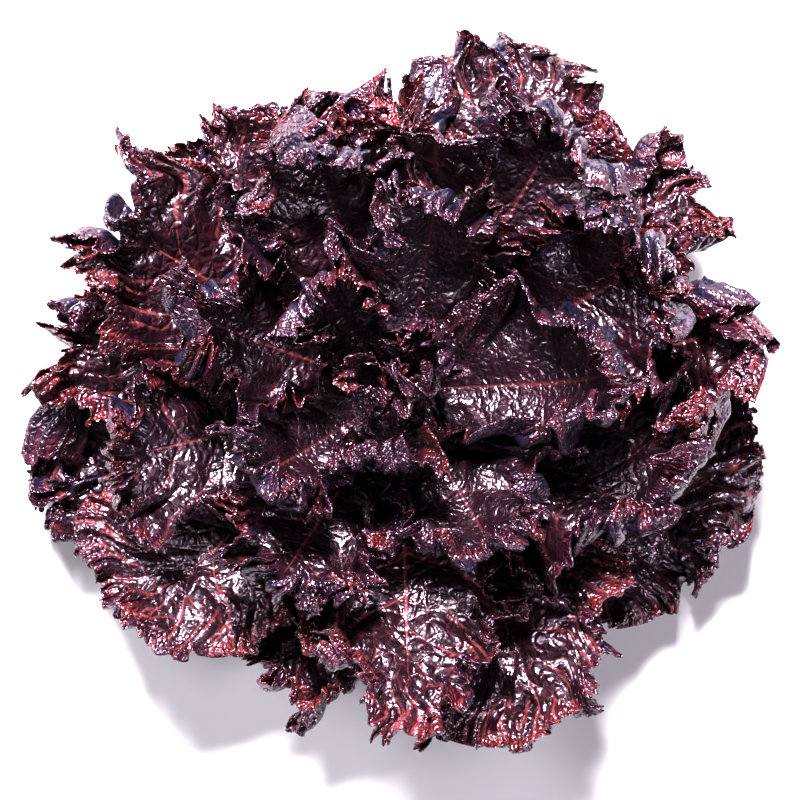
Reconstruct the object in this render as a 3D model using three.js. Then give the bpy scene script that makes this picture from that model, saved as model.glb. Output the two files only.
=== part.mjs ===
// A head of lollo rosso lettuce standing on its cut stem, in millimetres, +Z up.
// The origin is the centre of the cut face, so the head stands on the plane z = 0.
//
// The head is one short stem with thirty leaves round it. Each leaf is a solid of its own.
// The leaves sit in layers: every leaf follows the bowl of its own layer, the bowls nest without
// touching, and the leaf's azimuth turns by about the golden angle from one layer to the next.

import * as THREE from "three";

// Driving dimensions of the head.
const STEM_CUT_RADIUS = 16;
const STEM_HEIGHT = 46;
const STEM_TIP_RADIUS = 2.6;
const STEM_SEGMENTS = 28;
const FIRST_AZIMUTH = 70;
const GOLDEN_ANGLE = 137.5;

// How uneven the head is round its axis: how many waves go round, how big they are, as a share of the
// radius or in millimetres of height, and where they start, in radians.
const BULGES = [
  { waves: 2, size: 0.035, start: 0.8 },
  { waves: 5, size: 0.03, start: 2.4 },
];
const SAGS = [
  { waves: 3, size: 5, start: 0.5 },
  { waves: 7, size: 3.5, start: 1.9 },
];

// Folds turn round the axis too, by a radian in so many millimetres of radius.
const FOLDS = [
  { waves: 9, size: 6, turn: 30 },
  { waves: 16, size: 3, turn: 17 },
];

// Sags and folds have their full size at this radius, and fade below this height.
const UNEVEN_RADIUS = 120;
const UNEVEN_HEIGHT = 14;

// The hollow beside the heart: its azimuth in radians, how much further out the leaves stand there,
// how narrow it is, and the radii between which it opens and closes.
const HOLLOW = { azimuth: 0.1, share: 0.36, narrow: 6, opens: [20, 42], closes: [60, 118] };

// The heart leans by this much between these heights.
const LEAN = { x: -2, y: 5, from: 30, to: 120 };

// A leaf's own proportions, as shares of its length.
const PETIOLE_HALF_WIDTH = 0.06;
const WIDEST_AT = 0.56;
const RIB_REACH = 0.72;
const VEIN_SWEEP = 0.1;
const BASE_TURN = 0.93 * Math.PI;

// A leaf clasps the head's axis no tighter than if it were wound on this radius.
const CLASP_RADIUS = 10;

// Thickness of the blade, from the outermost leaf to the innermost, and of the rib below it.
const OUTER_THICKNESS = 1.5;
const INNER_THICKNESS = 0.8;
const RIB_THICKNESS = 1.1;

// The frilled margin stands up and down by this much from one step to the next.
const FRILL = 3;

// How finely a leaf is faceted: rings between rib and margin, and steps from tip to base.
const RINGS = [0, 0.3, 0.58, 0.8, 1];
const HALF_STEPS = 18;

// The bowls' cross-section: four control points (radius, height) of a cubic curve at each key layer.
const BOWLS = [
  { layer: 0.0, points: [[17.4, 8], [50, 14], [100, 39], [146, 10]] },
  { layer: 0.3, points: [[14.6, 20], [48, 31], [104, 58], [130, 62]] },
  { layer: 0.55, points: [[11.6, 29], [40, 39], [84, 56], [97, 92]] },
  { layer: 0.8, points: [[7.6, 38], [28, 46], [50, 66], [53, 104]] },
  { layer: 0.9, points: [[4.6, 42.3], [13, 50], [21, 70], [21, 104]] },
  { layer: 1.0, points: [[1.6, 46.6], [4, 56], [7, 76], [5, 104]] },
];

// Every leaf from the lowest and outermost to the heart: how far its azimuth strays from the golden
// angle's turn in degrees, its length along the rib and its greatest width.
const LEAVES = [
  { ring: "outer", stray: -2, length: 126, width: 122 },
  { ring: "outer", stray: -11, length: 122, width: 118 },
  { ring: "outer", stray: -11, length: 128, width: 132 },
  { ring: "outer", stray: 6, length: 112, width: 104 },
  { ring: "outer", stray: -9, length: 118, width: 96 },
  { ring: "outer", stray: -2, length: 122, width: 96 },
  { ring: "outer", stray: -3, length: 124, width: 84 },
  { ring: "outer", stray: -18, length: 132, width: 112 },
  { ring: "outer", stray: 10, length: 104, width: 104 },
  { ring: "outer", stray: -6, length: 120, width: 104 },
  { ring: "outer", stray: 4, length: 124, width: 104 },
  { ring: "outer", stray: 8, length: 124, width: 100 },
  { ring: "outer", stray: -8, length: 122, width: 98 },
  { ring: "middle", stray: 0, length: 116, width: 106 },
  { ring: "middle", stray: 0, length: 112, width: 92 },
  { ring: "middle", stray: 0, length: 114, width: 100 },
  { ring: "middle", stray: 0, length: 108, width: 92 },
  { ring: "middle", stray: -8, length: 108, width: 80 },
  { ring: "middle", stray: 0, length: 108, width: 88 },
  { ring: "middle", stray: 0, length: 102, width: 84 },
  { ring: "inner", stray: 0, length: 98, width: 78 },
  { ring: "inner", stray: 0, length: 90, width: 70 },
  { ring: "inner", stray: 0, length: 86, width: 66 },
  { ring: "inner", stray: 8, length: 96, width: 72 },
  { ring: "inner", stray: 0, length: 80, width: 56 },
  { ring: "heart", stray: 0, length: 70, width: 44 },
  { ring: "heart", stray: 0, length: 64, width: 38 },
  { ring: "heart", stray: 0, length: 58, width: 32 },
  { ring: "heart", stray: 0, length: 54, width: 26 },
  { ring: "heart", stray: 0, length: 48, width: 20 },
];

const degrees = (angle) => (angle * Math.PI) / 180;
const mix = THREE.MathUtils.lerp;

// The control points of a layer's bowl, between those of the key layers either side of it.
function bowlCurve(layer) {
  const above = Math.max(1, BOWLS.findIndex((bowl) => bowl.layer >= layer));
  const [low, high] = [BOWLS[above - 1], BOWLS[above]];
  const share = (layer - low.layer) / (high.layer - low.layer);
  const corners = low.points.map(([radius, height], i) => {
    const [nextRadius, nextHeight] = high.points[i];
    return new THREE.Vector2(mix(radius, nextRadius, share), mix(height, nextHeight, share));
  });
  return new THREE.CubicBezierCurve(...corners);
}

// The grown head isn't a turned one: it bulges, sags and folds round the axis, its heart leans, and
// on one side the inner leaves stand away from the heart and leave a hollow.
// The same displacement holds for every leaf, so leaves that don't touch still don't afterwards.
function grown(radius, azimuth, height) {
  const swing = (sum, { waves, size, start }) => sum + size * Math.sin(waves * azimuth + start);
  const fold = (sum, { waves, size, turn }) => sum + size * Math.sin(waves * azimuth + radius / turn);
  const opened = THREE.MathUtils.smoothstep(radius, ...HOLLOW.opens);
  const closed = THREE.MathUtils.smoothstep(radius, ...HOLLOW.closes);
  const facing = ((1 + Math.cos(azimuth - HOLLOW.azimuth)) / 2) ** HOLLOW.narrow;
  const bulge = BULGES.reduce(swing, 1) + HOLLOW.share * opened * (1 - closed) * facing;
  const uneven = FOLDS.reduce(fold, SAGS.reduce(swing, 0)) * (radius / UNEVEN_RADIUS) ** 2;
  const lean = THREE.MathUtils.smoothstep(height, LEAN.from, LEAN.to);
  return new THREE.Vector3(
    radius * bulge * Math.cos(azimuth) + LEAN.x * lean,
    radius * bulge * Math.sin(azimuth) + LEAN.y * lean,
    height + (uneven * height) / (height + UNEVEN_HEIGHT),
  );
}

// A point of the flat leaf: turn is 0 at the tip and +-1 at the base, out is 0 on the rib and 1 on
// the margin. The veins sweep forwards from the rib to the margin.
function flatLeaf(turn, out, length, width) {
  const angle = turn * BASE_TURN;
  const side = Math.sin(Math.abs(angle));
  const towardsTip = angle ** 2 < (Math.PI / 2) ** 2;
  const reach = towardsTip ? 1 - WIDEST_AT : WIDEST_AT;
  const petiole = towardsTip ? 0 : PETIOLE_HALF_WIDTH * (1 - side);
  const margin = new THREE.Vector2(
    length * (WIDEST_AT + reach * Math.cos(angle)),
    Math.sign(turn) * ((width / 2) * side ** (towardsTip ? 1 : 1.25) + petiole * length),
  );
  const rib = new THREE.Vector2(length * (0.02 + RIB_REACH * ((1 + Math.cos(angle)) / 2) ** 0.9), 0);
  const sweep = length * VEIN_SWEEP * side * out * (1 - out);
  return rib.lerp(margin, out).add(new THREE.Vector2(sweep, 0));
}

// The sheet in the middle of a leaf's thickness: its points, ring by ring from the rib outwards.
function leafPoints(layer, azimuth, { length, width }) {
  const curve = bowlCurve(layer);
  const arc = curve.getLength();
  const placed = (turn, out) => {
    const flat = flatLeaf(turn, out, length, width);
    const { x: radius, y: height } = curve.getPointAt(Math.min(1, flat.x / arc));
    const around = flat.y / Math.hypot(radius, CLASP_RADIUS);
    return grown(radius, azimuth + around, height);
  };
  const points = [];
  for (const out of RINGS) {
    const first = out === 0 ? 0 : -HALF_STEPS;
    for (let step = first; step <= HALF_STEPS; step += 1) {
      points.push(placed(step / HALF_STEPS, out));
    }
  }
  return points;
}

// The triangles of that sheet. The rib is one line of points that both halves share.
function leafFaces() {
  const index = (ring, step) => {
    if (ring === 0) return Math.abs(step);
    return HALF_STEPS + 1 + (ring - 1) * (2 * HALF_STEPS + 1) + HALF_STEPS + step;
  };
  const faces = [];
  for (let ring = 1; ring < RINGS.length; ring += 1) {
    for (let step = -HALF_STEPS; step < HALF_STEPS; step += 1) {
      const [a, b] = [index(ring - 1, step), index(ring - 1, step + 1)];
      const [c, d] = [index(ring, step), index(ring, step + 1)];
      faces.push([a, c, d], [a, d, b]);
    }
  }
  return faces;
}

// How far a point of the sheet stands out of it: the margin's steps go up and down by turns, except
// towards the petiole.
function frill(i, layer) {
  const step = i - (HALF_STEPS + 1 + (RINGS.length - 2) * (2 * HALF_STEPS + 1)) - HALF_STEPS;
  if (step < -HALF_STEPS) return 0;
  const fade = THREE.MathUtils.smoothstep(HALF_STEPS - Math.abs(step), 2, 8);
  return (step % 2 === 0 ? 1 : -1) * FRILL * fade * (1 - layer) ** 2;
}

// The closed solid between the sheet's two sides: the blade's thickness, with the rib below it.
function leafGeometry(layer, azimuth, leaf) {
  const points = leafPoints(layer, azimuth, leaf);
  const faces = leafFaces();
  const count = points.length;
  const sheet = new THREE.BufferGeometry().setFromPoints(points).setIndex(faces.flat());
  sheet.computeVertexNormals();
  const normals = sheet.getAttribute("normal");
  const half = mix(OUTER_THICKNESS, INNER_THICKNESS, layer) / 2;
  const solid = [];
  for (const side of [1, -1]) {
    points.forEach((point, i) => {
      const rib = side < 0 && i <= HALF_STEPS ? (RIB_THICKNESS * (1 - layer) * i) / HALF_STEPS : 0;
      const normal = new THREE.Vector3().fromBufferAttribute(normals, i);
      solid.push(point.clone().addScaledVector(normal, side * (half + rib) + frill(i, layer)));
    });
  }
  const directed = new Set();
  for (const [a, b, c] of faces) {
    [[a, b], [b, c], [c, a]].forEach(([from, to]) => directed.add(`${from},${to}`));
  }
  const rim = [];
  for (const edge of directed) {
    const [from, to] = edge.split(",").map(Number);
    if (!directed.has(`${to},${from}`)) {
      rim.push([to, from, from + count], [to, from + count, to + count]);
    }
  }
  const under = faces.map(([a, b, c]) => [a + count, c + count, b + count]);
  return new THREE.BufferGeometry()
    .setFromPoints(solid)
    .setIndex([...faces, ...under, ...rim].flat());
}

// The stem: a flat cut face, a short neck and the cone that the leaves grow from.
function stemGeometry() {
  const profile = [
    [0, 0],
    [STEM_CUT_RADIUS - 1.2, 0],
    [STEM_CUT_RADIUS, 1.2],
    [STEM_CUT_RADIUS, 6],
    [STEM_CUT_RADIUS * 0.79, 20],
    [STEM_CUT_RADIUS * 0.52, 31],
    [STEM_TIP_RADIUS, STEM_HEIGHT - 4],
    [0, STEM_HEIGHT - 3],
  ].map(([radius, height]) => new THREE.Vector2(radius, height));
  return new THREE.LatheGeometry(profile, STEM_SEGMENTS).rotateX(Math.PI / 2);
}

const leafMaterial = new THREE.MeshStandardMaterial({
  name: "leaf_blade",
  color: new THREE.Color(0.16, 0.03, 0.06),
  roughness: 0.35,
  metalness: 0,
  side: THREE.DoubleSide,
});

const stemMaterial = new THREE.MeshStandardMaterial({
  name: "stem_flesh",
  color: new THREE.Color(0.72, 0.66, 0.5),
  roughness: 0.6,
  metalness: 0,
});

const lettuce = new THREE.Group();

const stem = new THREE.Mesh(stemGeometry(), stemMaterial);
stem.name = "cut_stem";
lettuce.add(stem);

const numbered = {};
LEAVES.forEach((leaf, rank) => {
  const layer = rank / (LEAVES.length - 1);
  const azimuth = degrees(FIRST_AZIMUTH + GOLDEN_ANGLE * rank + leaf.stray);
  const mesh = new THREE.Mesh(leafGeometry(layer, azimuth, leaf), leafMaterial);
  numbered[leaf.ring] = (numbered[leaf.ring] ?? 0) + 1;
  mesh.name = `${leaf.ring}_leaf_${String(numbered[leaf.ring]).padStart(2, "0")}`;
  lettuce.add(mesh);
});

export default lettuce;
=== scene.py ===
"""The looks of a head of lollo rosso lettuce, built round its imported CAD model.

Every CAD leaf is a plain shell on the bowl of its own layer. Here each one is grown again on the same
bowl as a closed blade with a rib, pillowed between its veins, whose margin is several times longer
than the ring it sits on, so that it buckles into frills on frills.

Sizes are in millimetres, and meshes go out in metres.
"""

import math

import bpy
import numpy as np
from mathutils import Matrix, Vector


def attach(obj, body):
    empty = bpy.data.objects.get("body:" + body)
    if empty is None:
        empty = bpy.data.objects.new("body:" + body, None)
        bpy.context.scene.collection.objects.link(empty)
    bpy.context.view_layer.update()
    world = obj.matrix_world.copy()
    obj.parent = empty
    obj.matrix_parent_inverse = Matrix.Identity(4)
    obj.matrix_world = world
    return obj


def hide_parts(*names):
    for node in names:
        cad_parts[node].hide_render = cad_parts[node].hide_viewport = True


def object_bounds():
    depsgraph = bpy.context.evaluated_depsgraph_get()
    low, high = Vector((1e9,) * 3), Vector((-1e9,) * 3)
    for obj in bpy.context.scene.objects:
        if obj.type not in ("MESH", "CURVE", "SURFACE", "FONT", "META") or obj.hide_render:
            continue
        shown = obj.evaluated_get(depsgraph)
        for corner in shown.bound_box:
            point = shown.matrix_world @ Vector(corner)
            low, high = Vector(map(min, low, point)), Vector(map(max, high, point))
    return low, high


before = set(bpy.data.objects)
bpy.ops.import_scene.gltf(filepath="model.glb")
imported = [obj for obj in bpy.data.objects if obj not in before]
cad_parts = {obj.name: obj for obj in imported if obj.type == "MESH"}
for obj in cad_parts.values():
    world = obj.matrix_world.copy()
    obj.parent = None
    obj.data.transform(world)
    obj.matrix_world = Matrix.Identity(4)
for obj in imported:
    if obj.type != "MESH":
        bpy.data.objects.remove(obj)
CAD_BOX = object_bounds()
MM = 0.001

# ---------------------------------------------------------------- the head, as the CAD source has it
FIRST_AZIMUTH = 70
GOLDEN_ANGLE = 137.5
BULGES = [(2, 0.035, 0.8), (5, 0.03, 2.4)]  # waves round the axis, share of the radius, start
SAGS = [(3, 5, 0.5), (7, 3.5, 1.9)]  # waves round the axis, height, start
FOLDS = [(9, 6, 30), (16, 3, 17)]  # waves round the axis, height, radius to a radian of turn
UNEVEN_RADIUS = 120
UNEVEN_HEIGHT = 14
HOLLOW = {"azimuth": 0.1, "share": 0.36, "narrow": 6, "opens": (20, 42), "closes": (60, 118)}
LEAN = {"x": -2, "y": 5, "from": 30, "to": 120}
PETIOLE_HALF_WIDTH = 0.06
WIDEST_AT = 0.56
RIB_REACH = 0.72
VEIN_SWEEP = 0.1
BASE_TURN = 0.93 * math.pi
CLASP_RADIUS = 10
BASE_TAPER = 1.25  # power that narrows the blade towards its petiole
RIB_START, RIB_SPREAD = 0.02, 0.9  # where the rib's points start, as a share of the length, and a power

BOWLS = [
    (0.0, [[17.4, 8], [50, 14], [100, 39], [146, 10]]),
    (0.3, [[14.6, 20], [48, 31], [104, 58], [130, 62]]),
    (0.55, [[11.6, 29], [40, 39], [84, 56], [97, 92]]),
    (0.8, [[7.6, 38], [28, 46], [50, 66], [53, 104]]),
    (0.9, [[4.6, 42.3], [13, 50], [21, 70], [21, 104]]),
    (1.0, [[1.6, 46.6], [4, 56], [7, 76], [5, 104]]),
]

# Stray from the golden angle's turn in degrees, length along the rib, greatest width, then how far
# the margin curls up out of the bowl in degrees, and how much that swings along the margin.
LEAVES = {
    "outer": [
        (-2, 126, 122, 60, 70),
        (-11, 122, 118, 70, 80),
        (-11, 128, 132, 35, 25),
        (6, 112, 104, 80, 60),
        (-9, 118, 96, 110, 60),
        (-2, 122, 96, 70, 60),
        (-3, 124, 84, 90, 70),
        (-18, 132, 112, 40, 50),
        (10, 104, 104, 70, 60),
        (-6, 120, 104, 25, 35),
        (4, 124, 104, 70, 60),
        (8, 124, 100, 80, 60),
        (-8, 122, 98, 40, 50),
    ],
    "middle": [
        (0, 116, 106, 70, 55),
        (0, 112, 92, 80, 60),
        (0, 114, 100, 60, 60),
        (0, 108, 92, 85, 60),
        (-8, 108, 80, 80, 60),
        (0, 108, 88, 80, 60),
        (0, 102, 84, 85, 60),
    ],
    "inner": [
        (0, 98, 78, 75, 55),
        (0, 90, 70, 75, 55),
        (0, 86, 66, 70, 55),
        (8, 96, 72, 70, 55),
        (0, 80, 56, 65, 55),
    ],
    "heart": [
        (0, 70, 44, 45, 50),
        (0, 64, 38, 45, 50),
        (0, 58, 32, 40, 50),
        (0, 54, 26, 40, 40),
        (0, 48, 20, 40, 40),
    ],
}

# ---------------------------------------------------------------- how a leaf is grown
# The margin's waves: wavelength along the margin in mm, how far out they start, and how steeply the
# margin turns out of its ring at the crossings, in radians.
WAVES = [
    (110, 0.1, 0.6, 0.85),
    (48, 0.2, 0.7, 1.0),
    (22, 0.32, 0.8, 1.1),
    (11, 0.5, 0.92, 1.25),
    (6.5, 0.76, 1.0, 0.75),
]
WAVE_SCALE = {"outer": 0.9, "middle": 0.75, "inner": 0.6, "heart": 0.45}
WAVES_FROM = 0.3  # how far out the waves start to need room
PHASE_SWAY = 1.6  # how unevenly the waves follow each other, in radians
STEEP_SWAY, STEEP_LIMITS = 0.35, (0.25, 1.6)  # how much their steepness swings, and its least and most
MARGIN_LENGTH = 2.99  # about a margin's unstretched length over the root of length times width
LEVEL_SHARE = 5  # the waves are levelled over one of so many stretches of the margin
CALM_BASE = 0.3  # share of each side over which the margin calms down towards the leaf's base

# How high a blade's crumples stand in mm, and their waves: radians to a mm, and share of the height.
CRUMPLE = {"outer": 3.5, "middle": 2.8, "inner": 2.4, "heart": 1.5}
CRUMPLE_WAVES = [(0.2, 0.65), (0.42, 0.35)]
CRUMPLE_BEND, CRUMPLE_BEND_RATE = 0.9, 0.6  # how far the waves are bent in radians, and how fast
CRUMPLE_POWER = 0.7  # below 1, so crumples are round and the creases between them are sharp
CRUMPLES_FROM = (0.05, 0.25)
PILLOW, PILLOW_WIDTH = 1.8, 4.0  # height between the veins, and distance from a vein to rise over
PILLOWS_FROM = (0.05, 0.2)
FRILLED_FROM = 0.55  # how far out lobes start, and pillows and crumples get lower
PILLOW_LOSS, CRUMPLE_LOSS = 0.5, 0.3

# The outline's unevenness: size and spacing along the flat outline in mm, power of its rounding, and
# how far out it starts. The lobes are a smooth curve with so many waves to a side.
SCALLOPS = {"size": 5, "spacing": 20, "power": 0.5, "from": 0.78}
TEETH = {"size": 1.2, "spacing": 7.6, "power": 0.8, "from": 0.9}
LOBES = {"size": 5, "waves": 7, "spread": 0.3}
OUTLINE = 3.0  # about the flat outline's length over that root, for the spacing above
ROW_SWAY = {"size": 0.012, "outward": 9, "along": 11}  # how lines of points from the rib sway

STRETCH = 3.2  # how many times longer than its ring the margin is
WAVE_REACH = 16  # about how far the waves stand out of the sheet at the margin
CURL_FROM = (0.3, 0.95)  # how far out the curl starts and is done
CURL_WAVES, CURL_LIMITS = 3.2, (-0.4, 2.6)  # its swings along the margin, and its least and most
FINE_STEPS = 3072  # steps of the margin's curve before it is sampled
RUFFLED_CURL = math.radians(70)  # a leaf that curls less than this is calmer too
CALMEST = 0.72  # how ruffled a leaf with no curl is
FREE_REACH = 34  # how far a blade may stand out of its bowl where nothing is in its way
# Room in mm past the bowl above, and past this share of the way to the bowl below.
ROOM_ABOVE, ROOM_BELOW, SHARE_BELOW = 3, 2, 0.8
# Where a leaf covers its neighbours: shares of its half width and its length, and over which distances
# past them in mm that fades.
COVER_WIDTH, COVER_LENGTH = 0.86, 0.9
SIDE_FADE, TIP_FADE = (0, 8), (-3, 5)
GRID_OUT = 1.05  # how far out the grid of clearances goes
BOWL_SKIP = 6  # of a neighbour's bowl line, every so many points are used
LEAST_NEED = 0.01  # in mm, so that no share is divided by zero
SMALL_STEP, SMALL_OUT = 0.5, 0.02  # for directions on the bowl: in mm, and as a share of the way out
# Below FLOOR_FADE a blade is held off the floor ever more, and never nearer to it than FLOOR_GAP.
FLOOR_GAP, FLOOR_FADE = 0.4, 4
# The head's height and reach from its axis, past which its frills are held in, and by how much they
# may still pass them.
CEILING, CEILING_GIVE = 104, 9
REACH, REACH_GIVE = 128, 16

BLADE_THICKNESS = 0.55
MARGIN_THICKNESS = 0.36
THIN_FROM = 14  # distance from the margin at which a blade starts to thin
RIB_DEPTH, RIB_LENGTH = 3.0, 128  # a rib's depth at the base, on a leaf of this length
RIB_HALF_WIDTH = 4.5
RIB_TAPER = 1.2  # power that makes a rib shallower towards the tip
VEIN_DEPTH, VEIN_WIDTH = 0.5, 1.2

# Veins that leave the rib on each side, and the share of the rib that they are spread over.
MAIN_VEINS = {"outer": 7, "middle": 6, "inner": 5, "heart": 4}
MAIN_REACH, MAIN_STRAY = 0.93, 0.6
# The shorter veins between two of those: where between them each runs, how far out it may start, and
# the vein it leaves, which is the main one before or after, or the first of these.
SHORT_VEINS = [
    (0.4, (0.2, 0.35), "before"),
    (0.72, (0.32, 0.5), "after"),
    (0.2, (0.5, 0.65), "before"),
    (0.56, (0.5, 0.65), "first"),
    (0.87, (0.55, 0.7), "after"),
]
VEIN_TURN = 0.28  # share of the way out over which a shorter vein parts from its own
NO_VEIN = 99.0

# Mesh steps from tip to base at the rib, by ring of the head. Each band further out doubles them.
RIB_STEPS = {"outer": 48, "middle": 40, "inner": 35, "heart": 28}
# Bands between rib and margin: where each ends, and how far apart its rings are in mm.
BANDS = [(0.28, 3.6), (0.5, 2.6), (0.74, 1.9), (1.0, 1.5)]
RING_GAPS = {"outer": 1, "middle": 1, "inner": 0.85, "heart": 0.8}  # scales those distances
RIB_RINGS = [0.0, 0.03, 0.07, 0.12]

# ---------------------------------------------------------------- how things look
# Sizes of a blade's puckers on the face and along the frills in mm, the face's bump in mm, how much its
# veins show, and its roughness.
LEAF_LOOKS = {
    "outer": (4.8, 2.4, 0.5, 0.6, 0.32),
    "middle": (4.2, 2.1, 0.35, 0.2, 0.32),
    "inner": (3.6, 1.8, 0.3, 0.08, 0.32),
    "heart": (2.8, 1.6, 0.3, 0.05, 0.31),
}
# The face colours: the blade's own dark burgundy in uneven patches, made darker than the frills as
# painted shade for the deep hollows between the leaves.
FACE_DARK_SHADED, FACE_RED_SHADED = (0.0045, 0.0011, 0.0033, 1), (0.010, 0.0017, 0.0045, 1)
FACE_SPECKLE = (0.03, 0.004, 0.008, 1)
# The rim colours along the frills: the lilac is partly the margin's own colour and partly painted sheen
# of the sparkling crests, and the red is painted light shining through the leaf.
RIM_LILAC_PAINTED_SHEEN, RIM_RED_PAINTED_GLOW = (0.030, 0.0055, 0.014, 1), (0.090, 0.009, 0.009, 1)
NET_RED = (0.08, 0.012, 0.016, 1)
VEIN_RED = (0.20, 0.045, 0.05, 1)
RIB_RED = (0.16, 0.04, 0.045, 1)
# The underside's navy is a painted reflection of blue sky light on the leaf backs.
BACK_NAVY_PAINTED_SKY = (0.005, 0.006, 0.019, 1)
STEM_PALE, STEM_BROWN = (0.62, 0.54, 0.34, 1), (0.46, 0.28, 0.15, 1)
STEM_RED = (0.02, 0.003, 0.005, 1)
STEM_REDDENS = (25, 36)  # heights in mm between which the stem turns dark red
FRILL_BUMP = 0.55  # depth of the bump of the puckers along the frills, in mm
FRILL_BAND = (4.0, 13.0)  # distances from the margin in mm between which the frills' look fades
FRILL_ROUGHNESS = 0.28
DOME_EDGE = 0.30  # how far from its edge a pucker has risen in full, as a share of its size
WARP, WARP_SCALE = 0.0035, 160.0  # how far in metres noise moves the puckers, and its scale

# Lights: name, place in metres, size, watts and colour.
LIGHTS = [
    ("key", (-0.15, 0.8, 1.2), 0.32, 125, (1.0, 0.95, 0.98)),
    ("soft_box", (-0.9, 0.3, 1.0), 0.4, 10, (0.97, 0.94, 1.0)),
    ("fill", (0.8, -0.5, 1.0), 0.4, 12, (0.95, 0.90, 1.0)),
]
WORLD_COLOUR, WORLD_STRENGTH = (0.85, 0.66, 1.0, 1), 0.06
FLOOR_HALF = 3000.0
FLOOR_COLOUR, FLOOR_ROUGHNESS = (0.6, 0.6, 0.6), 0.9
LENS, SENSOR = 90, 36
VIEW_SHARE = 1.03  # width of the view over that of the CAD model
CAMERA_ASIDE, CAMERA_BACK = 1, 8  # camera off the middle of the CAD box, in mm
EXPOSURE, GAMMA = 0.35, 0.82


def smooth(low, high, value):
    share = np.clip((value - low) / (high - low), 0, 1)
    return share * share * (3 - 2 * share)


def bullate(place, random):
    """Crumples over points of a leaf, about 0 to 1 high, about 16 mm and half that across."""
    total = np.zeros(len(place))
    for wave, weight in CRUMPLE_WAVES:
        way = random.normal(size=(3, 3))
        way /= np.linalg.norm(way, axis=1)[:, None]
        phases = place @ way.T * wave + random.uniform(0, 6.3, 3)
        bend = np.sin(place @ np.roll(way, 1, 0).T * wave * CRUMPLE_BEND_RATE)
        phases = phases + CRUMPLE_BEND * bend
        total += weight * (1 - np.abs(np.sin(phases)).min(1) ** CRUMPLE_POWER)
    return 1 - total


def wander(random, steps, waves, spread=0.5, sines=7):
    """A smooth random curve over steps positions from -1 to 1, mostly within +-1.5."""
    at = np.linspace(-1, 1, steps)
    total = np.zeros(steps)
    for _ in range(sines):
        rate = waves * (1 + spread * random.uniform(-1, 1))
        total += np.sin(math.pi * rate * at + random.uniform(0, 2 * math.pi))
    return total / math.sqrt(sines)


def scalloped(random, steps, waves, roundness):
    """Rounded lobes with sharp notches between them, over steps positions, from about -0.7 to 0.3."""
    phase = math.pi * waves * np.linspace(-1, 1, steps) / 2
    phase = phase + 1.2 * wander(random, steps, waves / 5)
    size = 0.8 + 0.35 * wander(random, steps, waves / 3)
    return (np.abs(np.sin(phase)) ** roundness - 0.7) * size


def held_in(value, limit, give):
    """The value up to the limit, and past it ever less, up to give more."""
    over = np.maximum(value - limit, 0)
    return value - over + give * (1 - np.exp(-over / give))


def above_floor(height):
    """The height, which below FLOOR_FADE sinks ever less and stays above FLOOR_GAP."""
    give = FLOOR_FADE - FLOOR_GAP
    lifted = FLOOR_GAP + give * np.exp((height - FLOOR_FADE) / give)
    return np.where(height < FLOOR_FADE, lifted, height)


def hold_in_head(points):
    """Keeps the points above the floor, and softly below the ceiling and within the head's reach."""
    points[:, 2] = held_in(above_floor(points[:, 2]), CEILING, CEILING_GIVE)
    reached = np.hypot(points[:, 0], points[:, 1])
    points[:, :2] *= (held_in(reached, REACH, REACH_GIVE) / reached)[:, None]


def calm_at_base(turn):
    return smooth(0, CALM_BASE, 1 - np.abs(turn))


class Leaf:
    """A leaf's name, place and size."""

    def __init__(self, ring, number, rank, count, row):
        stray, self.length, self.width, curl, fold = row
        self.ring = ring
        self.name = f"{ring}_leaf_{number:02d}"
        self.rank = rank
        self.layer = rank / (count - 1)
        self.azimuth = math.radians(FIRST_AZIMUTH + GOLDEN_ANGLE * rank + stray)
        self.curl = math.radians(curl)
        self.fold = math.radians(fold)
        self.bowl = bowl_line(self.layer)

    def half_width(self, along):
        """Half the flat blade's width at a distance along the rib, and 0 past the tip."""
        share = along / self.length
        reach = np.where(share > WIDEST_AT, 1 - WIDEST_AT, WIDEST_AT)
        cosine = np.clip((share - WIDEST_AT) / reach, -1, 1)
        side = np.sqrt(1 - cosine**2)
        lower = self.width / 2 * side**BASE_TAPER + PETIOLE_HALF_WIDTH * self.length * (1 - side)
        half = np.where(share > WIDEST_AT, self.width / 2 * side, lower)
        return np.where(share > 1, 0, half)


def all_leaves():
    count = sum(len(rows) for rows in LEAVES.values())
    made = []
    for ring, rows in LEAVES.items():
        for number, row in enumerate(rows, 1):
            made.append(Leaf(ring, number, len(made), count, row))
    return made


def bowl_line(layer, steps=240):
    """Arc lengths, radii and heights along the bowl of a layer."""
    above = max(1, next(i for i, (key, _) in enumerate(BOWLS) if key >= layer - 1e-9))
    (low, low_points), (high, high_points) = BOWLS[above - 1], BOWLS[above]
    share = (layer - low) / (high - low)
    corners = np.array(low_points) * (1 - share) + np.array(high_points) * share
    t = np.linspace(0, 1, steps)[:, None]
    weights = [(1 - t) ** 3, 3 * t * (1 - t) ** 2, 3 * t * t * (1 - t), t**3]
    line = sum(w * c for w, c in zip(weights, corners))
    arc = np.concatenate([[0], np.cumsum(np.hypot(*np.diff(line, axis=0).T))])
    return arc, line[:, 0], line[:, 1]


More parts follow.
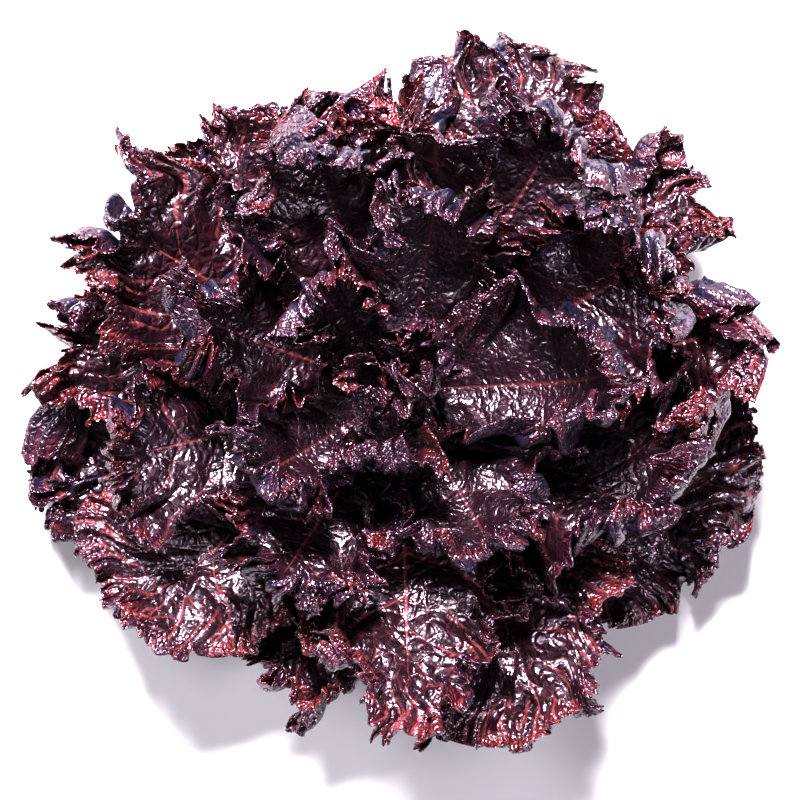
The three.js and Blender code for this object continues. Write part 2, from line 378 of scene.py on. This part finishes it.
def grown(radius, azimuth, height):
    """A point of the head's bowls, bulged, sagged, folded and leant, the same for every leaf."""
    bulge = 1 + sum(size * np.sin(waves * azimuth + start) for waves, size, start in BULGES)
    opened = smooth(*HOLLOW["opens"], radius) * (1 - smooth(*HOLLOW["closes"], radius))
    facing = ((1 + np.cos(azimuth - HOLLOW["azimuth"])) / 2) ** HOLLOW["narrow"]
    bulge = bulge + HOLLOW["share"] * opened * facing
    uneven = sum(size * np.sin(waves * azimuth + start) for waves, size, start in SAGS)
    for waves, size, turn in FOLDS:
        uneven = uneven + size * np.sin(waves * azimuth + radius / turn)
    uneven = uneven * (radius / UNEVEN_RADIUS) ** 2
    lean = smooth(LEAN["from"], LEAN["to"], height)
    return np.stack(
        [
            radius * bulge * np.cos(azimuth) + LEAN["x"] * lean,
            radius * bulge * np.sin(azimuth) + LEAN["y"] * lean,
            height + uneven * height / (height + UNEVEN_HEIGHT),
        ],
        axis=-1,
    )


def flat_leaf(leaf, turn, out):
    """Distance along the rib and to its side of a point of the flat leaf."""
    angle = turn * BASE_TURN
    side = np.sin(np.abs(angle))
    tipward = np.abs(angle) < math.pi / 2
    reach = np.where(tipward, 1 - WIDEST_AT, WIDEST_AT)
    petiole = np.where(tipward, 0, PETIOLE_HALF_WIDTH * (1 - side))
    half = leaf.width / 2 * side ** np.where(tipward, 1, BASE_TAPER) + petiole * leaf.length
    margin_along = leaf.length * (WIDEST_AT + reach * np.cos(angle))
    rib_along = leaf.length * (RIB_START + RIB_REACH * ((1 + np.cos(angle)) / 2) ** RIB_SPREAD)
    sweep = leaf.length * VEIN_SWEEP * side * out * (1 - out)
    along = rib_along + (margin_along - rib_along) * out + sweep
    return along, np.sign(turn) * half * out


def on_bowl(leaf, along, across):
    """Radius, azimuth and height of a flat point laid on the leaf's bowl."""
    arc, radii, heights = leaf.bowl
    past = np.maximum(along - arc[-1], 0)
    radius = np.interp(along, arc, radii) + past * (radii[-1] - radii[-2]) / (arc[-1] - arc[-2])
    height = np.interp(along, arc, heights) + past * (heights[-1] - heights[-2]) / (arc[-1] - arc[-2])
    return radius, leaf.azimuth + across / np.hypot(radius, CLASP_RADIUS), height


def clearances(leaf, leaves, turns=33, outs=9):
    """How far the bowls of the leaves above and below are, on a coarse grid of the leaf, where those
    leaves cover it, as two tables by turn and out."""
    turn, out = np.meshgrid(np.linspace(-1, 1, turns), np.linspace(0, GRID_OUT, outs), indexing="ij")
    radius, azimuth, height = on_bowl(leaf, *flat_leaf(leaf, turn, out))
    above = np.full(turn.shape, 2.0 * FREE_REACH)
    below = above.copy()
    for other in leaves:
        if other is leaf:
            continue
        arc, radii, heights = (line[::BOWL_SKIP] for line in other.bowl)
        gaps = np.hypot(radius[..., None] - radii, height[..., None] - heights)
        nearest = gaps.argmin(-1)
        gap, along = gaps.min(-1), arc[nearest]
        turned = (azimuth - other.azimuth + math.pi) % (2 * math.pi) - math.pi
        beside = np.abs(turned) * np.hypot(radius, CLASP_RADIUS) - COVER_WIDTH * other.half_width(along)
        beyond = along - COVER_LENGTH * other.length
        covered = (1 - smooth(*SIDE_FADE, beside)) * (1 - smooth(*TIP_FADE, beyond))
        room = gap / np.maximum(covered, 1e-3)
        if other.rank > leaf.rank:
            above = np.minimum(above, room)
        else:
            below = np.minimum(below, room)
    return above, below


def sampled(table, turn, out):
    """A table of clearances() between its grid points."""
    turns, outs = table.shape
    x = np.clip((turn + 1) / 2 * (turns - 1), 0, turns - 1.001)
    y = np.clip(out / GRID_OUT * (outs - 1), 0, outs - 1.001)
    i, j = x.astype(int), y.astype(int)
    u, v = x - i, y - j
    low = table[i, j] * (1 - u) + table[i + 1, j] * u
    high = table[i, j + 1] * (1 - u) + table[i + 1, j + 1] * u
    return low * (1 - v) + high * v


def ring_plan(leaf):
    """(out, half the number of steps) of each ring, from the rib to the margin."""
    reach = leaf.width / 2
    steps = RIB_STEPS[leaf.ring]
    plan = [(out, steps) for out in RIB_RINGS]
    start = RIB_RINGS[-1]
    for end, gap in BANDS:
        rings = max(2, round((end - start) * reach / (gap * RING_GAPS[leaf.ring])))
        plan += [(start + (end - start) * (i + 1) / rings, steps) for i in range(rings)]
        start, steps = end, steps * 2
    return plan


def frill_curves(leaf, random):
    """A function of out, which gives for the ring there each point's turn, the turn where it lies and
    its height out of the bowl as a share of the ring's length. Both come from one curve whose direction
    swings from side to side, which is what a margin too long for its ring does."""
    turn = np.linspace(-1, 1, FINE_STEPS + 1)
    margin_length = MARGIN_LENGTH * math.sqrt(leaf.length * leaf.width)
    ruffled = CALMEST + (1 - CALMEST) * min(1, leaf.curl / RUFFLED_CURL)
    fade = calm_at_base(turn)
    swings = []
    for wavelength, start, end, steep in WAVES:
        waves = margin_length * STRETCH / (wavelength * WAVE_SCALE[leaf.ring])
        phase = math.pi * waves * turn + PHASE_SWAY * wander(random, FINE_STEPS + 1, waves / 3)
        phase += random.uniform(0, 2 * math.pi)
        strength = 1 + STEEP_SWAY * wander(random, FINE_STEPS + 1, waves / 4)
        strength = np.clip(strength, *STEEP_LIMITS)
        swings.append((start, end, ruffled * steep * strength * fade * np.sin(phase)))
    window = np.hanning(FINE_STEPS // LEVEL_SHARE)
    window /= window.sum()
    edge = len(window) // 2

    def curve(out):
        direction = sum(smooth(start, end, out) * swing for start, end, swing in swings)
        lying = np.concatenate([[0], np.cumsum(np.cos(direction[1:]))])
        height = np.concatenate([[0], np.cumsum(np.sin(direction[1:]))])
        level = np.convolve(np.pad(height, edge, "edge"), window, "same")[edge : edge + len(height)]
        height = (height - level) / lying[-1]
        lying = lying / lying[-1] * 2 - 1
        return turn, lying, height

    return curve


def vein_columns(leaf, random):
    """For each side, veins as (column, out where it leaves, column of the vein it leaves). Columns are
    mesh columns at the rib, from 0 at the tip. Long veins leave the rib, and shorter ones leave them."""
    steps = RIB_STEPS[leaf.ring]
    count = MAIN_VEINS[leaf.ring]
    sides = []
    for _ in range(2):
        main = [0]
        for i in range(1, count):
            main.append(steps * (i / count) * MAIN_REACH + random.uniform(-MAIN_STRAY, MAIN_STRAY))
        veins = [(column, 0.0, column) for column in main]
        for before, after in zip(main, [*main[1:], steps]):
            first = before + (after - before) * SHORT_VEINS[0][0]
            parents = {"before": before, "after": after, "first": first}
            for share, start, parent in SHORT_VEINS:
                column = before + (after - before) * share
                veins.append((column, random.uniform(*start), parents[parent]))
        sides.append(veins)
    return sides


def vein_distance(leaf, veins, turn, out, per_column):
    """Distance in mm to the nearest vein for points of a ring."""
    column = np.abs(turn) * RIB_STEPS[leaf.ring]
    gap = np.full(len(turn), NO_VEIN)
    for side, sign in ((0, 1), (1, -1)):
        here = turn * sign >= -1e-9
        for at, start, parent in veins[side]:
            if start and out < start:
                continue
            place = parent + (at - parent) * smooth(start, start + VEIN_TURN, out) if start else at
            away = np.abs(column - place) * per_column
            gap = np.where(here, np.minimum(gap, away), gap)
    return gap


def grow(leaf, leaves):
    """The leaf's middle sheet, as a table of its points and its faces. A row is a point's place, its
    distances from the nearest vein, the margin and the rib in mm, and its turn."""
    random = np.random.default_rng(1000 + leaf.rank)
    above, below = clearances(leaf, leaves)
    curve = frill_curves(leaf, random)
    veins = vein_columns(leaf, random)
    count = FINE_STEPS + 1
    every_turn = np.linspace(-1, 1, count)
    lobes = wander(random, count, LOBES["waves"], LOBES["spread"])
    outline = OUTLINE * math.sqrt(leaf.length * leaf.width)
    scallops = scalloped(random, count, outline / SCALLOPS["spacing"], SCALLOPS["power"])
    teeth = scalloped(random, count, outline / TEETH["spacing"], TEETH["power"])
    sway_start = random.uniform(0, 2 * math.pi)
    fade = calm_at_base(every_turn)
    curl = leaf.curl + leaf.fold * wander(random, count, CURL_WAVES)
    curl = np.clip(curl, *CURL_LIMITS) * fade
    reached = np.zeros(count)
    risen = np.zeros(count)
    before = 0.0

    rows, rings = [], []
    for out, half_steps in ring_plan(leaf):
        bumps = np.random.default_rng(leaf.rank)
        middle = curl * smooth(*CURL_FROM, (out + before) / 2)
        reached = reached + (out - before) * np.cos(middle)
        risen = risen + (out - before) * np.sin(middle)
        before = out
        lean = curl * smooth(*CURL_FROM, out)

        turn, lying, height = curve(out)
        pick = np.linspace(0, FINE_STEPS, 2 * half_steps + 1).round().astype(int)
        turn, lying, height, lean = turn[pick], lying[pick], height[pick], lean[pick]
        frilled = smooth(FRILLED_FROM, 1, out)
        extra = LOBES["size"] * frilled * lobes[pick]
        extra = extra + SCALLOPS["size"] * smooth(SCALLOPS["from"], 1, out) * scallops[pick]
        extra = extra + TEETH["size"] * smooth(TEETH["from"], 1, out) * teeth[pick]
        extra = extra * 2 / leaf.width * out
        reach = reached[pick] + extra * np.cos(lean)
        rise = risen[pick] + extra * np.sin(lean)
        sway = np.sin(ROW_SWAY["outward"] * out + sway_start + ROW_SWAY["along"] * turn)
        lying = lying + ROW_SWAY["size"] * sway * out * (1 - turn**2)

        rib_at = np.column_stack(flat_leaf(leaf, lying, np.zeros(len(turn))))
        margin_at = np.column_stack(flat_leaf(leaf, lying, np.ones(len(turn))))
        ray = np.linalg.norm(margin_at - rib_at, axis=1)
        wave_reach = WAVE_REACH * WAVE_SCALE[leaf.ring] * smooth(WAVES_FROM, 1, out) * fade[pick]
        up = np.minimum(sampled(above, lying, reach) + ROOM_ABOVE, FREE_REACH)
        down = np.minimum(sampled(below, lying, reach) * SHARE_BELOW + ROOM_BELOW, FREE_REACH)
        rise = rise * ray
        lift = np.maximum(0, wave_reach * np.cos(lean) - down)
        need = np.abs(rise) + lift + wave_reach + LEAST_NEED
        share = up * np.tanh(need / up) / need
        reach = reach * share + (out + extra) * (1 - share)

        along, across = flat_leaf(leaf, lying, reach)
        base = grown(*on_bowl(leaf, along, across))
        # The bowl's own directions by small steps, for the ways out of it and towards the margin.
        ahead = grown(*on_bowl(leaf, along + SMALL_STEP, across)) - base
        aside = grown(*on_bowl(leaf, along, across + SMALL_STEP)) - base
        normal = np.cross(ahead, aside)
        normal /= np.linalg.norm(normal, axis=1)[:, None]
        outward = grown(*on_bowl(leaf, *flat_leaf(leaf, lying, reach + SMALL_OUT))) - base
        outward /= np.linalg.norm(outward, axis=1)[:, None]
        sheet_normal = normal * np.cos(lean)[:, None] - outward * np.sin(lean)[:, None]
        ring_length = np.linalg.norm(np.diff(base, axis=0), axis=1).sum()

        per_column = ring_length / (2 * RIB_STEPS[leaf.ring])
        from_rib = out * leaf.width / 2 * np.ones(len(turn))
        gap = np.minimum(vein_distance(leaf, veins, turn, out, per_column), from_rib)
        pillow = PILLOW * (1 - np.exp(-((gap / PILLOW_WIDTH) ** 2))) * smooth(*PILLOWS_FROM, out)
        crumple = CRUMPLE[leaf.ring] * bullate(base, bumps) * smooth(*CRUMPLES_FROM, out)
        relief = pillow * (1 - PILLOW_LOSS * frilled) + crumple * (1 - CRUMPLE_LOSS * frilled)
        points = base + normal * ((rise + lift) * share)[:, None]
        points = points + sheet_normal * (height * ring_length * share + relief)[:, None]
        hold_in_head(points)
        keep = slice(half_steps, None) if out == 0 else slice(None)
        to_margin = (1 - out) * leaf.width / 2 * np.ones(len(turn))
        row = np.column_stack([points, gap, to_margin, from_rib, turn])[keep]
        rings.append((sum(len(r) for r in rows), half_steps, out == 0))
        rows.append(row)
    return np.concatenate(rows), ring_faces(rings)


def ring_faces(rings):
    """Triangles between successive rings, each with as many steps as the one before or twice."""

    def index(ring, step):
        first, half_steps, folded = ring
        return first + (np.abs(step) if folded else step + half_steps)

    faces = []
    for inner, outer in zip(rings, rings[1:]):
        steps = np.arange(-inner[1], inner[1])
        a, b = index(inner, steps), index(inner, steps + 1)
        if inner[1] == outer[1]:
            c, d = index(outer, steps), index(outer, steps + 1)
            faces += [np.column_stack([a, d, c]), np.column_stack([a, b, d])]
        else:
            c, m, d = (index(outer, 2 * steps + i) for i in range(3))
            faces += [np.column_stack([a, m, c]), np.column_stack([a, b, m]), np.column_stack([b, d, m])]
    return np.concatenate(faces)[:, ::-1]


def vertex_normals(points, faces):
    a, b, c = (points[faces[:, i]] for i in range(3))
    flat = np.cross(b - a, c - a)
    total = np.zeros_like(points)
    for i in range(3):
        np.add.at(total, faces[:, i], flat)
    return total / np.maximum(np.linalg.norm(total, axis=1), 1e-12)[:, None]


def blade_solid(leaf, table, faces):
    """The closed blade round the middle sheet, with its rib below, and the attributes of its points."""
    points = table[:, :3]
    gap, to_margin, from_rib, turn = table[:, 3:].T
    normals = vertex_normals(points, faces)
    thin = smooth(0, THIN_FROM, to_margin)
    half = (MARGIN_THICKNESS + (BLADE_THICKNESS - MARGIN_THICKNESS) * thin) / 2
    rib_share = np.clip(1 - (from_rib / RIB_HALF_WIDTH) ** 2, 0, 1)
    rib = RIB_DEPTH * (leaf.length / RIB_LENGTH) * rib_share * np.abs(turn) ** RIB_TAPER
    veins = VEIN_DEPTH * np.exp(-((gap / VEIN_WIDTH) ** 2)) * thin
    top = points + normals * half[:, None]
    bottom = points - normals * (half + rib + veins)[:, None]
    count = len(points)
    edges = np.concatenate([faces[:, [0, 1]], faces[:, [1, 2]], faces[:, [2, 0]]])
    keys = edges[:, 0] * count + edges[:, 1]
    back = edges[:, 1] * count + edges[:, 0]
    rim = edges[~np.isin(keys, back)]
    rim_faces = np.concatenate(
        [
            np.column_stack([rim[:, 1], rim[:, 0], rim[:, 0] + count]),
            np.column_stack([rim[:, 1], rim[:, 0] + count, rim[:, 1] + count]),
        ]
    )
    under = faces[:, [0, 2, 1]] + count
    solid = np.concatenate([top, bottom])
    shared = {
        "vein_gap": np.tile(gap, 2),
        "margin_gap": np.tile(to_margin, 2),
        "rib_gap": np.tile(from_rib, 2),
        "underside": np.repeat([0.0, 1.0], count),
    }
    return solid, np.concatenate([faces, under, rim_faces]), shared


def mesh_object(name, points, faces, attributes):
    mesh = bpy.data.meshes.new(name)
    mesh.vertices.add(len(points))
    mesh.vertices.foreach_set("co", (points * MM).astype(np.float32).ravel())
    mesh.loops.add(3 * len(faces))
    mesh.loops.foreach_set("vertex_index", faces.astype(np.int32).ravel())
    mesh.polygons.add(len(faces))
    mesh.polygons.foreach_set("loop_start", np.arange(0, 3 * len(faces), 3, dtype=np.int32))
    mesh.polygons.foreach_set("use_smooth", np.ones(len(faces), bool))
    for key, values in attributes.items():
        mesh.attributes.new(key, "FLOAT", "POINT").data.foreach_set("value", values.astype(np.float32))
    mesh.update(calc_edges=True)
    mesh.validate()
    made = bpy.data.objects.new(name, mesh)
    bpy.context.scene.collection.objects.link(made)
    return made


# ---------------------------------------------------------------- materials
class Nodes:
    """A short way to write a node tree."""

    def __init__(self, name):
        self.material = bpy.data.materials.new(name)
        self.material.use_nodes = True
        self.tree = self.material.node_tree
        self.tree.nodes.clear()

    def add(self, kind, inputs=None, **settings):
        node = self.tree.nodes.new("ShaderNode" + kind)
        for key, value in settings.items():
            setattr(node, key, value)
        for key, value in (inputs or {}).items():
            socket = node.inputs[key]
            if isinstance(value, bpy.types.NodeSocket):
                self.tree.links.new(value, socket)
            else:
                socket.default_value = value
        return node

    def math(self, operation, a, b=0.0, c=0.0):
        node = self.add("Math", {0: a, 1: b, 2: c}, operation=operation)
        return node.outputs[0]

    def attribute(self, name):
        return self.add("Attribute", attribute_name=name).outputs["Fac"]

    def ramp(self, value, low, high, to_low=0.0, to_high=1.0):
        node = self.add(
            "MapRange",
            {"Value": value, "From Min": low, "From Max": high, "To Min": to_low, "To Max": to_high},
            interpolation_type="SMOOTHSTEP",
        )
        return node.outputs["Result"]

    def mix(self, share, a, b):
        node = self.add("Mix", data_type="RGBA")
        for key, value in (("Factor", share), ("A", a), ("B", b)):
            socket = next(s for s in node.inputs if s.name == key and s.enabled)
            if isinstance(value, bpy.types.NodeSocket):
                self.tree.links.new(value, socket)
            else:
                socket.default_value = value
        return next(s for s in node.outputs if s.enabled)


def leaf_material(name, cell, frill_cell, depth, rib_share, face_roughness):
    """A glossy dark red blade, with painted shade, painted sheen, painted glow and a painted sky
    reflection in its colour. LEAF_LOOKS says what the numbers are.
    """
    n = Nodes(name)
    place = n.add("TexCoord").outputs["Object"]
    warp = n.add("TexNoise", {"Vector": place, "Scale": WARP_SCALE, "Detail": 2.0}).outputs["Color"]
    shift = n.add("VectorMath", {0: warp, 1: (0.5, 0.5, 0.5)}, operation="SUBTRACT").outputs[0]
    shift = n.add("VectorMath", {0: shift, 3: WARP}, operation="SCALE").outputs[0]
    place = n.add("VectorMath", {0: place, 1: shift}, operation="ADD").outputs[0]

    def cells(size, feature):
        node = n.add("TexVoronoi", {"Vector": place, "Scale": 1000.0 / size}, feature=feature)
        return node.outputs["Distance"]

    net = cells(cell, "DISTANCE_TO_EDGE")
    fine = cells(frill_cell, "DISTANCE_TO_EDGE")
    dome = n.ramp(net, 0.0, DOME_EDGE)
    fine_dome = n.ramp(fine, 0.0, DOME_EDGE)
    vein_gap = n.attribute("vein_gap")
    margin_gap = n.attribute("margin_gap")
    rib_gap = n.attribute("rib_gap")
    underside = n.attribute("underside")
    frilly = n.ramp(margin_gap, *FRILL_BAND, 1.0, 0.0)

    patches = n.add("TexNoise", {"Vector": place, "Scale": 45.0, "Detail": 2.0}).outputs["Fac"]
    speckle = n.add("TexNoise", {"Vector": place, "Scale": 330.0, "Detail": 2.0}).outputs["Fac"]
    # Face colour in uneven patches, darkened as painted shade of the hollows.
    colour = n.mix(n.ramp(patches, 0.35, 0.7), FACE_DARK_SHADED, FACE_RED_SHADED)
    colour = n.mix(n.ramp(speckle, 0.5, 0.75, 0.0, 0.3), colour, FACE_SPECKLE)
    # Rim colour: painted sheen, with patches of painted red light shining through the leaf.
    rim_colour_painted_light = n.mix(n.ramp(patches, 0.48, 0.64), RIM_LILAC_PAINTED_SHEEN, RIM_RED_PAINTED_GLOW)
    # Towards the margin the colour goes over to the rim's, so the faces further in stay dark as painted
    # shade and the frills carry the painted sheen and glow.
    colour = n.mix(n.math("MULTIPLY", frilly, 0.75), colour, rim_colour_painted_light)
    # Thin veins of the net, then the branching ones, then the rib.
    thin = n.ramp(net, 0.015, 0.07, 0.6 * rib_share, 0.0)
    colour = n.mix(thin, colour, NET_RED)
    wide = n.ramp(vein_gap, 0.2, 0.75, 0.1 + 0.75 * rib_share, 0.0)
    colour = n.mix(wide, colour, VEIN_RED)
    rib = n.ramp(rib_gap, 0.3, 1.1, rib_share, 0.0)
    colour = n.mix(rib, colour, RIB_RED)
    # Painted reflection of blue sky light on the underside, fading along the frills.
    painted_sky_back = n.math("MULTIPLY", underside, n.math("MULTIPLY_ADD", frilly, -0.5, 0.85))
    colour = n.mix(painted_sky_back, colour, BACK_NAVY_PAINTED_SKY)

    height = n.math("MULTIPLY", dome, n.math("MULTIPLY_ADD", frilly, -depth, depth))
    height = n.math("MULTIPLY_ADD", fine_dome, n.math("MULTIPLY_ADD", frilly, FRILL_BUMP, 0.1), height)
    height = n.math("MULTIPLY_ADD", n.ramp(vein_gap, 0.0, 1.3), 0.3, height)
    height = n.math("MULTIPLY", height, n.math("MULTIPLY_ADD", underside, -0.3, 1.0))
    bump = n.add("Bump", {"Height": height, "Strength": 1.0, "Distance": MM})
    rough = n.ramp(frilly, 0.0, 1.0, face_roughness, FRILL_ROUGHNESS)
    rough = n.math("ADD", n.ramp(speckle, 0.3, 0.7, -0.05, 0.05), rough)
    shader = n.add(
        "BsdfPrincipled",
        {
            "Base Color": colour,
            "Roughness": rough,
            "Normal": bump.outputs["Normal"],
            "IOR": 1.75,
            "Specular IOR Level": 0.65,
            "Specular Tint": (1.0, 0.80, 0.95, 1),
        },
    )
    n.add("OutputMaterial", {"Surface": shader.outputs[0]})
    return n.material


def stem_material():
    n = Nodes("stem_flesh")
    place = n.add("TexCoord").outputs["Object"]
    grain = n.add("TexNoise", {"Vector": place, "Scale": 260.0, "Detail": 5.0}).outputs["Fac"]
    colour = n.mix(n.ramp(grain, 0.35, 0.7), STEM_PALE, STEM_BROWN)
    height = n.add("SeparateXYZ", {0: place}).outputs["Z"]
    reddens = n.ramp(height, *(z * MM for z in STEM_REDDENS))
    colour = n.mix(reddens, colour, STEM_RED)
    bump = n.add("Bump", {"Height": grain, "Strength": 0.6, "Distance": 0.4 * MM})
    shader = n.add(
        "BsdfPrincipled",
        {"Base Color": colour, "Roughness": 0.5, "Normal": bump.outputs["Normal"]},
    )
    n.add("OutputMaterial", {"Surface": shader.outputs[0]})
    return n.material


def plain_material(name, colour, roughness):
    n = Nodes(name)
    shader = n.add("BsdfPrincipled", {"Base Color": (*colour, 1), "Roughness": roughness})
    n.add("OutputMaterial", {"Surface": shader.outputs[0]})
    return n.material


# ---------------------------------------------------------------- the pieces
def make_leaves():
    leaves = all_leaves()
    finish = {ring: leaf_material("leaf_" + ring, *look) for ring, look in LEAF_LOOKS.items()}
    for leaf in leaves:
        table, faces = grow(leaf, leaves)
        piece = mesh_object(leaf.name + "_blade", *blade_solid(leaf, table, faces))
        piece.data.materials.append(finish[leaf.ring])
        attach(piece, "root")
        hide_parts(leaf.name)


def finish_stem():
    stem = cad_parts["cut_stem"]
    stem.data.materials.clear()
    stem.data.materials.append(stem_material())


# ---------------------------------------------------------------- the studio
def make_studio():
    low, high = CAD_BOX
    width = high.x - low.x
    floor = mesh_object(
        "studio_floor",
        np.array([[-1, -1, 0], [1, -1, 0], [1, 1, 0], [-1, 1, 0]]) * FLOOR_HALF,
        np.array([[0, 1, 2], [0, 2, 3]]),
        {},
    )
    floor.data.materials.append(plain_material("floor_paper", FLOOR_COLOUR, FLOOR_ROUGHNESS))

    def area_light(name, place, size, power, colour):
        data = bpy.data.lights.new(name, "AREA")
        data.size, data.energy, data.color = size, power, colour
        light = bpy.data.objects.new(name, data)
        light.location = place
        aim = (low + high) / 2 - light.location
        light.rotation_euler = aim.to_track_quat("-Z", "Y").to_euler()
        bpy.context.scene.collection.objects.link(light)

    for light in LIGHTS:
        area_light(*light)
    world = bpy.data.worlds.new("studio")
    world.use_nodes = True
    background = world.node_tree.nodes["Background"]
    background.inputs["Color"].default_value = WORLD_COLOUR
    background.inputs["Strength"].default_value = WORLD_STRENGTH
    bpy.context.scene.world = world

    camera_data = bpy.data.cameras.new("camera")
    camera_data.lens, camera_data.sensor_width = LENS, SENSOR
    camera = bpy.data.objects.new("camera", camera_data)
    view_width = width * VIEW_SHARE
    camera.location = (
        (low.x + high.x) / 2 + CAMERA_ASIDE * MM,
        (low.y + high.y) / 2 - CAMERA_BACK * MM,
        view_width * camera_data.lens / camera_data.sensor_width + high.z * 0.5,
    )
    scene = bpy.context.scene
    scene.collection.objects.link(camera)
    scene.camera = camera
    scene.view_settings.view_transform = "Standard"
    scene.view_settings.look = "None"
    scene.view_settings.exposure = EXPOSURE
    scene.view_settings.gamma = GAMMA


make_leaves()
finish_stem()
make_studio()
